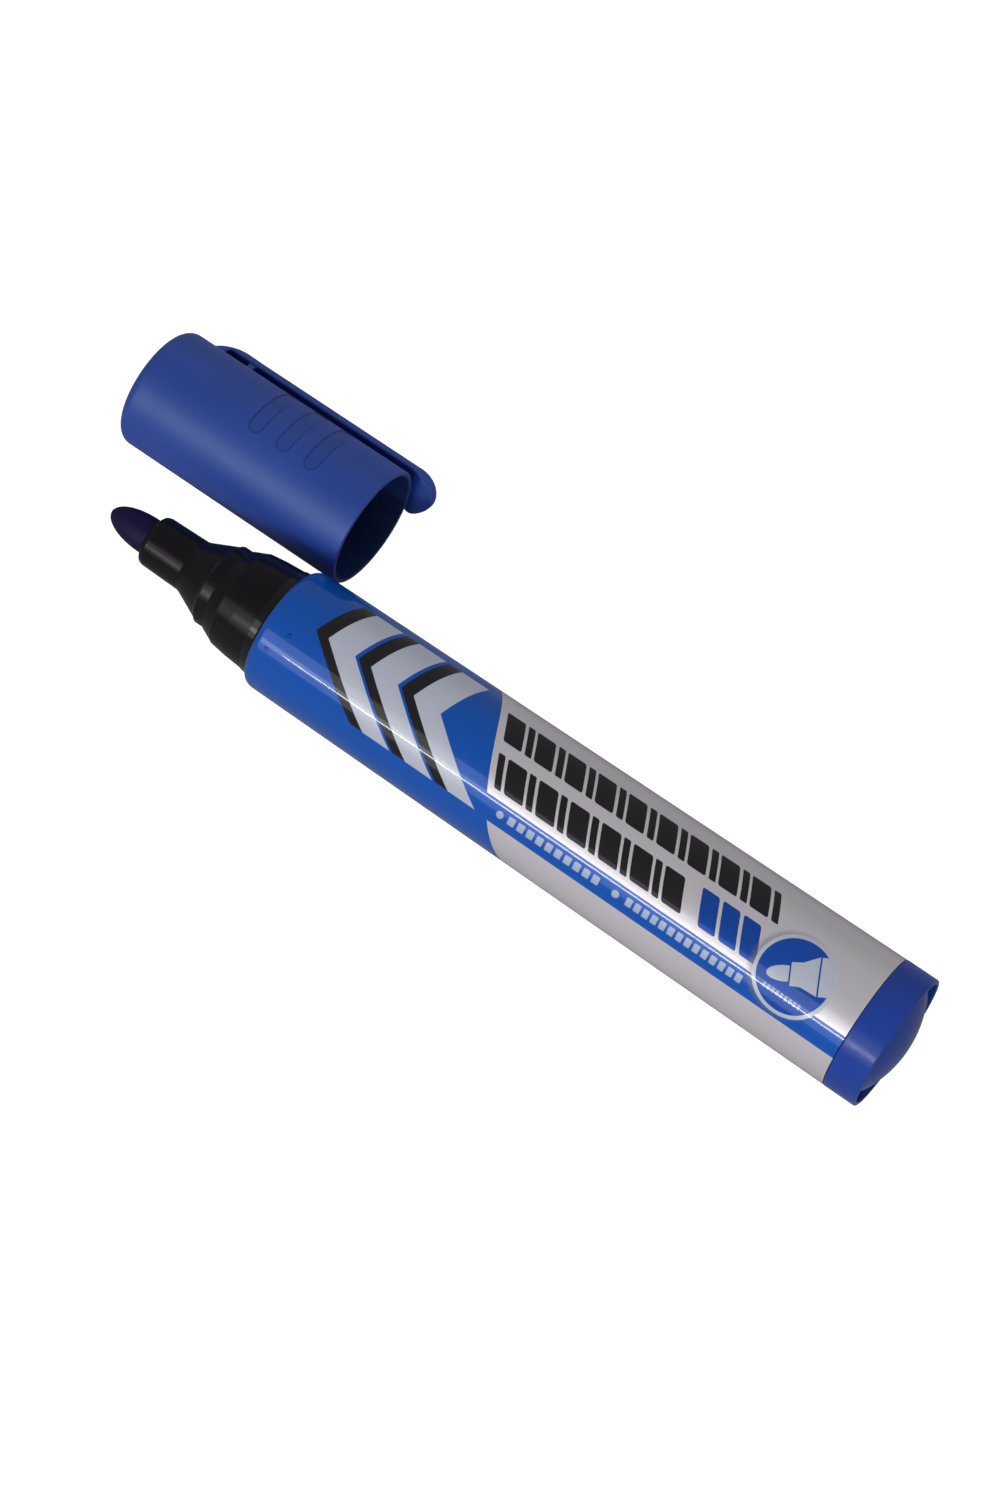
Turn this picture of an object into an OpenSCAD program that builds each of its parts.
// Jumbo felt-tip marker, lying on a table with its cap off and beside it.
// +X runs along the pen from the nib to the end plug, +Y points to the cap, +Z is up.
// The origin is on the table, under the middle of the whole arrangement.

/* [Barrel] */
// Length of the label, from the barrel's shoulder to the end plug
barrel_len = 96; // [85:1:120]
// Outside diameter over the label at the shoulder
barrel_front_d = 18.7; // [18.5:0.1:19.2]
// Outside diameter over the label at the end plug
barrel_rear_d = 19.94; // [19.5:0.02:20]
// Thickness of the barrel's wall at the end plug
barrel_wall = 1.15; // [1:0.05:1.3]
// Thickness of the printed film around the barrel
film_t = 0.1; // [0.08:0.01:0.15]
// Length of the rounded shoulder in front of the label's full diameter
shoulder_len = 1.4; // [1.2:0.1:2]

/* [Nib holder] */
// Distance from the label's full diameter to the holder's front face
holder_front = 24.2; // [23.8:0.1:26]
// Diameter of the neck at its front edge
neck_front_d = 7.76; // [7.4:0.02:8]
// Diameter of the neck where it starts to flare
neck_rear_d = 8; // [7.8:0.1:8.2]
// Diameter of the collar that the cap's seal closes on
collar_d = 12.6; // [12.4:0.1:12.7]
// Diameter of the cone where it meets the barrel
cone_d = 16.3; // [16:0.1:16.3]
// Length of the spigot inside the barrel
spigot_len = 10; // [6:0.5:12]

/* [Nib] */
// Diameter of the bullet nib
nib_d = 5.4; // [4.8:0.1:5.6]
// Length of the nib in front of the holder
nib_out = 7.3; // [6:0.1:9]
// Length of the rounded nose
nose_len = 6.4; // [4:0.1:7]
// Length of the nib inside the ink reservoir
nib_in = 6.5; // [4:0.5:10]

/* [Ink reservoir] */
// Diameter of the fibre rod
reservoir_d = 13.8; // [12:0.1:13.8]
// Thickness of the film wrapped around the rod
wrap_t = 0.1; // [0.08:0.01:0.12]

/* [End plug] */
// Diameter of the visible ring
plug_d = 20; // [20:0.1:20.4]
// Length of the visible ring
plug_len = 5; // [4:0.1:7]
// Width of the rim around the annular groove
rim_w = 0.6; // [0.4:0.1:0.8]
// Depth of the annular groove
groove_depth = 2; // [1:0.1:2.5]
// Diameter of the domed centre
dome_d = 16.4; // [15:0.1:17]
// Radius of the dome's curve
dome_r = 16.2; // [12:0.2:24]
// Height of the dome above the rim
dome_rise = 1.6; // [1.4:0.05:2.2]

/* [Cap] */
// Outside diameter of the cap
cap_d = 18.4; // [18.2:0.1:18.6]
// Length of the cap
cap_len = 38.6; // [38:0.1:42]
// Diameter of the cap's mouth
mouth_d = 16.86; // [16.8:0.02:17]
// Depth of the wide part of the mouth
mouth_depth = 8.8; // [7:0.1:9]
// Radius of the rounded edge at the closed end
end_fillet = 1.6; // [1:0.1:2.4]
// Thickness of the closed end
end_wall = 1.5; // [1.2:0.1:2]
// Inside diameter of the seal, which slides over the collar
seal_d = 12.74; // [12.72:0.02:12.9]
// Thickness of the seal's wall
seal_wall = 0.8; // [0.6:0.1:1]
// Width of each recessed grip mark
mark_w = 2.2; // [1.6:0.1:2.6]
// Half of the angle that each grip mark spans around the cap
mark_half_angle = 37.5; // [25:0.5:42]
// Depth of the grip marks
mark_depth = 0.16; // [0.08:0.02:0.2]

/* [Clip] */
// Width of the clip
clip_w = 7; // [6:0.1:8]
// Thickness of the clip
clip_t = 1.3; // [1.1:0.1:1.5]
// Gap between the clip and the cap
clip_gap = 2.3; // [1.8:0.1:2.6]
// Length of the clip's tail beyond the mouth
tail_len = 2.6; // [2:0.1:5]
// Height of the bead under the clip's tail
bead_rise = 0.7; // [0.4:0.1:1]

/* [Placement] */
// Distance between the cap's axis and the pen's axis, seen from above
cap_offset = 19.8; // [19.6:0.1:24]
// Distance from the label's full diameter forward to the cap's mouth
cap_mouth_ahead = 0.75; // [0:0.05:1]

/* [Hidden] */
$fn = 96;

cap_blue = [0.13, 0.2, 0.5];
plug_blue = [0.12, 0.19, 0.5];
label_blue = [0.1, 0.3, 0.65];
moulded_black = [0.06, 0.06, 0.065];
ink_dark = [0.08, 0.05, 0.2];
fibre_violet = [0.35, 0.3, 0.55];
clear_film = [0.9, 0.9, 0.92];
seal_blue = [0.2, 0.26, 0.55];

fit_gap = 0.02;      // between parts that are pressed or wrapped together
turn_gap = 0.05;     // between the cap's shell and its seal, which can turn
seam = 0.08;         // narrow gap between the label and the end plug
steps = 8;           // straight steps in each small rounded edge

// Along the pen, measured from the label's full diameter
holder_x = -holder_front;
tip_x = holder_x - nib_out;
rear_x = barrel_len + plug_len;
apex_x = rear_x + dome_rise;
skirt_len = 10;
skirt_x = barrel_len - skirt_len;
reservoir_front = spigot_len + 0.3;
reservoir_rear = skirt_x + 2.2;

// Across the pen
barrel_front_r = barrel_front_d / 2 - film_t - fit_gap;
barrel_rear_r = barrel_rear_d / 2 - film_t - fit_gap;
lip_r = 8.2;
spigot_r = 7.93;
spigot_bore_r = spigot_r + fit_gap;
skirt_bore_r = barrel_rear_r - barrel_wall;
wrap_r = reservoir_d / 2 + fit_gap + wrap_t;
nib_r = nib_d / 2;
nib_stub_r = nib_r - 0.25;
nib_seat_x = -13;    // where the tight part of the nib's bore ends

// Along the cap, measured from the mouth, with the closed end at -cap_len
cap_r = cap_d / 2;
mouth_r = mouth_d / 2;
cavity_step = 0.5;    // the mouth is that much wider than the rest of the cavity
cavity_r = mouth_r - cavity_step;
cavity_x = -cap_len + end_wall;
seal_mouth_x = -9.2;
mark_x = -10;
mark_pitch = 4.85;

// Clip, with heights measured from the cap's axis
clip_in = cap_r + clip_gap;
clip_out = clip_in + clip_t;
clip_mid = (clip_in + clip_out) / 2;
knuckle_x = -cap_len + 10.2;
knuckle_r = clip_t / 2;

// The clip hangs down on the far side until its corner meets the table
clip_drop = asin(cap_r / norm([clip_out, clip_w / 2])) - atan(clip_w / 2 / clip_out);

// The pen's and the cap's places, so that the origin is under the middle of everything
clip_reach = clip_out * cos(clip_drop) + clip_w / 2 * sin(clip_drop);
pen_h = plug_d / 2;
front_x = min(tip_x, -cap_mouth_ahead - cap_len);    // the nib's tip or the cap's closed end
pen_x = -(front_x + apex_x) / 2;
pen_y = -(cap_offset + clip_reach - pen_h) / 2;
mouth_at = [pen_x - cap_mouth_ahead, pen_y + cap_offset, cap_r];

// Points of a circular arc
function arc(centre, r, from, to, n = steps) =
    [for (i = [0 : n]) let (a = from + (to - from) * i / n) centre + r * [cos(a), sin(a)]];

// Points of a quarter ellipse around centre, from angle 0 on its first half-axis
function ellipse(centre, half_axes, from, to, n = 2 * steps) =
    [for (i = [0 : n]) let (a = from + (to - from) * i / n)
        centre + [half_axes[0] * cos(a), half_axes[1] * sin(a)]];

function reversed(points) = [for (i = [1 : len(points)]) points[len(points) - i]];

// Turns a [radius, length] outline about the pen's axis
module on_pen() {
    translate([pen_x, pen_y, pen_h]) rotate([0, 90, 0]) rotate_extrude() children();
}

// Turns a [radius, length] outline about the cap's axis
module on_cap() {
    translate(mouth_at) rotate([0, 90, 0]) rotate_extrude() children();
}

// Places a shape drawn with the clip straight up, on +Z, around the cap's mouth
module at_clip(turn = 0) {
    translate(mouth_at) rotate([-90 - clip_drop + turn, 0, 0]) children();
}

// Extrudes a side outline, [length, height], evenly to both sides
module side_view(width) {
    rotate([90, 0, 0]) translate([0, 0, -width / 2]) linear_extrude(width) children();
}

// A solid cylinder along the cap's axis, for cutting
module cap_core(r) {
    rotate([0, 90, 0]) translate([0, 0, -cap_len]) cylinder(r = r, h = cap_len);
}

// The barrel's rounded shoulder, grown outwards by the film's thickness
function shoulder(full_r, grow, from) =
    ellipse([lip_r, 0], [full_r - lip_r + grow, shoulder_len + grow], from, 0, steps);

// Mirrors the shoulder's points to the front of the barrel
function to_front(points) = [for (p = points) [p[0], -p[1]]];

module barrel() {
    step_x = spigot_len + 0.3;
    step = 0.15;
    rib_t = 1;
    rib_from = spigot_len + 4;
    rib_to = skirt_x - 2;
    rib_r = wrap_r + 0.05;
    root = 0.35;
    color(moulded_black) {
        on_pen() polygon(concat(
            [[spigot_bore_r, -shoulder_len]],
            to_front(shoulder(barrel_front_r, 0, 90)),
            [[barrel_rear_r, barrel_len - seam], [skirt_bore_r, barrel_len - seam],
             [skirt_bore_r, skirt_x - 1], [spigot_bore_r + step, step_x + step],
             [spigot_bore_r, step_x]]));
        // Four ribs that hold the reservoir in the middle
        intersection() {
            on_pen() polygon([[rib_r, rib_from], [spigot_bore_r + root, rib_from],
                              [skirt_bore_r + root, rib_to], [rib_r, rib_to]]);
            for (a = [45, 135]) translate([pen_x + rib_from, pen_y, pen_h]) rotate([a, 0, 0])
                translate([0, -rib_t / 2, -pen_h]) cube([rib_to - rib_from, rib_t, 2 * pen_h]);
        }
    }
}

// The film follows the barrel and turns a little way over its shoulder
module label_sleeve() {
    front_r = barrel_front_r + fit_gap;
    rear_r = barrel_rear_r + fit_gap;
    turned_over = 66;
    color(label_blue) on_pen() polygon(concat(
        to_front(shoulder(front_r, film_t, turned_over)),
        [[rear_r + film_t, barrel_len - seam], [rear_r, barrel_len - seam]],
        reversed(to_front(shoulder(front_r, 0, turned_over)))));
}

module nib_holder() {
    neck_r = neck_front_d / 2;
    edge = 0.5;
    flare_x = -17.1;
    flare_blend = [0.15, 0.55];
    collar_r = collar_d / 2;
    collar_x = -12.2;
    collar_end_x = -10.5;
    collar_bevel = [0.32, 0.35];
    second_flare_x = -8.4;
    second_flare_r = collar_r + 1.18;
    cone_start = [7.8, -6];
    bore_r = nib_r + fit_gap;
    chamber_r = 6.7;
    color(moulded_black) on_pen() polygon(concat(
        [[bore_r, holder_x]],
        arc([neck_r - edge, holder_x + edge], edge, -90, 0),
        [[neck_rear_d / 2, flare_x],
         [neck_rear_d / 2, flare_x] + flare_blend,
         [collar_r, collar_x] - collar_bevel,
         [collar_r, collar_x],
         [collar_r, collar_end_x],
         [collar_r + 0.3, collar_end_x + 0.05],
         [second_flare_r - 0.2, second_flare_x - 0.35],
         [second_flare_r, second_flare_x],
         cone_start,
         [cone_d / 2, -shoulder_len],
         [spigot_r, -shoulder_len],
         [spigot_r, spigot_len - 0.6],
         [spigot_r - 0.4, spigot_len],
         [chamber_r, spigot_len],
         [chamber_r - 0.6, second_flare_x + 0.6],
         [chamber_r - 2, collar_x + 1.4],
         [bore_r, nib_seat_x]]));
}

module nib() {
    end_x = reservoir_front + nib_in;
    taper = [0.7, 1];
    color(ink_dark) on_pen() polygon(concat(
        ellipse([0, tip_x + nose_len], [nib_r, nose_len], -90, 0),
        [[nib_r, nib_seat_x + 3], [nib_stub_r, nib_seat_x + 3.6],
         [nib_stub_r, end_x - taper[1]], [nib_stub_r - taper[0], end_x], [0, end_x]]));
}

module ink_reservoir() {
    socket_r = nib_stub_r + fit_gap;
    socket_end_x = reservoir_front + nib_in + 0.2;
    color(fibre_violet) on_pen() polygon([
        [socket_r, reservoir_front], [reservoir_d / 2, reservoir_front],
        [reservoir_d / 2, reservoir_rear], [0, reservoir_rear],
        [0, socket_end_x], [socket_r, socket_end_x]]);
}

module reservoir_wrap() {
    color(clear_film) on_pen() translate([wrap_r - wrap_t, reservoir_front])
        square([wrap_t, reservoir_rear - reservoir_front]);
}

module end_plug() {
    ring_r = plug_d / 2;
    bevel = 0.3;
    seam_bevel = 0.15;
    skirt_r = skirt_bore_r - fit_gap;
    skirt_wall = 1.2;
    skirt_edge = [0.4, 0.6];
    web_x = barrel_len + 0.6;
    post_r = 4;
    post_x = reservoir_rear + 0.1;
    floor_x = rear_x - groove_depth;
    dome_edge = asin(dome_d / 2 / dome_r);
    color(plug_blue) on_pen() polygon(concat(
        [[0, post_x], [post_r, post_x], [post_r, web_x],
         [skirt_r - skirt_wall, web_x], [skirt_r - skirt_wall, skirt_x],
         [skirt_r - skirt_edge[0], skirt_x], [skirt_r, skirt_x + skirt_edge[1]],
         [skirt_r, barrel_len], [ring_r - seam_bevel, barrel_len],
         [ring_r, barrel_len + seam_bevel]],
        arc([ring_r - bevel, rear_x - bevel], bevel, 0, 90),
        [[ring_r - rim_w, rear_x], [ring_r - rim_w - 0.1, floor_x], [dome_d / 2, floor_x]],
        arc([0, apex_x - dome_r], dome_r, 90 - dome_edge, 90, 2 * steps)));
}

// A long oval, standing on the cap's axis, that marks the cap's skin over it
module grip_mark(x) {
    reach = cap_r * sin(mark_half_angle) - mark_w / 2;
    translate([x, 0, 0]) linear_extrude(2 * cap_r) polygon(concat(
        arc([0, reach], mark_w / 2, 0, 180), arc([0, -reach], mark_w / 2, 180, 360)));
}

// The clip's root: an arch with a window and a web, ending in a seat for the clip's knuckle
module clip_root() {
    sunk = 0.5;
    arch_x = -cap_len + 1.7;
    arch_run = 4.9;
    arch_rise = clip_out - cap_r + sunk;
    window_x = -cap_len + 3.9;
    window_end_x = -cap_len + 8.4;
    window_corner = 0.7;
    window_floor = cap_r - 2 * sunk;
    web_t = 1;
    seat_r = knuckle_r + 0.08;
    seat_angle = asin(knuckle_r / seat_r);
    at_clip() difference() {
        side_view(clip_w) difference() {
            polygon(concat(
                ellipse([arch_x + arch_run, cap_r - sunk], [arch_run, arch_rise], 180, 90),
                arc([knuckle_x, clip_mid], seat_r, 180 - seat_angle, 180 + seat_angle),
                [[window_end_x + web_t, clip_in], [window_end_x + web_t, cap_r - sunk]]));
            polygon(concat(
                [[window_end_x, window_floor], [window_end_x, clip_in]],
                arc([window_x + window_corner, clip_in - window_corner], window_corner, 90, 180),
                [[window_x, window_floor]]));
        }
        cap_core(cap_r - sunk + 0.15);
    }
}

module cap_shell() {
    lip = 0.32;
    inner_lip = 0.15;
    color(cap_blue) {
        difference() {
            on_cap() polygon(concat(
                [[0, -cap_len]],
                arc([cap_r - end_fillet, -cap_len + end_fillet], end_fillet, -90, 0),
                arc([cap_r - lip, -lip], lip, 0, 90),
                arc([mouth_r + inner_lip, -inner_lip], inner_lip, 90, 180),
                [[mouth_r, -mouth_depth], [cavity_r, -mouth_depth - cavity_step],
                 [cavity_r, cavity_x], [0, cavity_x]]));
            for (side = [-90, 90]) at_clip(side) difference() {
                for (i = [0 : 2]) grip_mark(mark_x - i * mark_pitch);
                cap_core(cap_r - mark_depth);
            }
        }
        clip_root();
    }
}

// An inner cup that closes on the holder's collar, standing on a flange at the closed end
module cap_seal() {
    in_r = seal_d / 2;
    out_r = in_r + seal_wall;
    flange_r = cavity_r - turn_gap;
    base_x = cavity_x + turn_gap;
    base_t = 1.8;
    flange_t = 2.5;
    edge = [0.3, 0.5];
    color(seal_blue) on_cap() polygon([
        [0, base_x], [flange_r, base_x], [flange_r, base_x + flange_t],
        [out_r, base_x + flange_t + 0.7], [out_r, seal_mouth_x - edge[1]],
        [out_r - edge[0], seal_mouth_x], [in_r + edge[0], seal_mouth_x],
        [in_r, seal_mouth_x - edge[1]], [in_r, base_x + base_t], [0, base_x + base_t]]);
}

// The clip's free arm, from its knuckle to the full-round tail, with a bead under the tail
module cap_clip() {
    bead_x = 0.2;
    bead_half = 2.2;
    color(cap_blue) at_clip() intersection() {
        side_view(clip_w) polygon(concat(
            arc([knuckle_x, clip_mid], knuckle_r, 270, 90),
            [[tail_len, clip_out], [tail_len, clip_in]],
            ellipse([bead_x, clip_in], [bead_half, bead_rise], 0, -180)));
        translate([0, 0, cap_r]) linear_extrude(2 * cap_r) polygon(concat(
            [[-cap_len, clip_w / 2], [-cap_len, -clip_w / 2]],
            arc([tail_len - clip_w / 2, 0], clip_w / 2, -90, 90, 2 * steps)));
    }
}

barrel();
label_sleeve();
nib_holder();
nib();
ink_reservoir();
reservoir_wrap();
end_plug();
cap_shell();
cap_seal();
cap_clip();
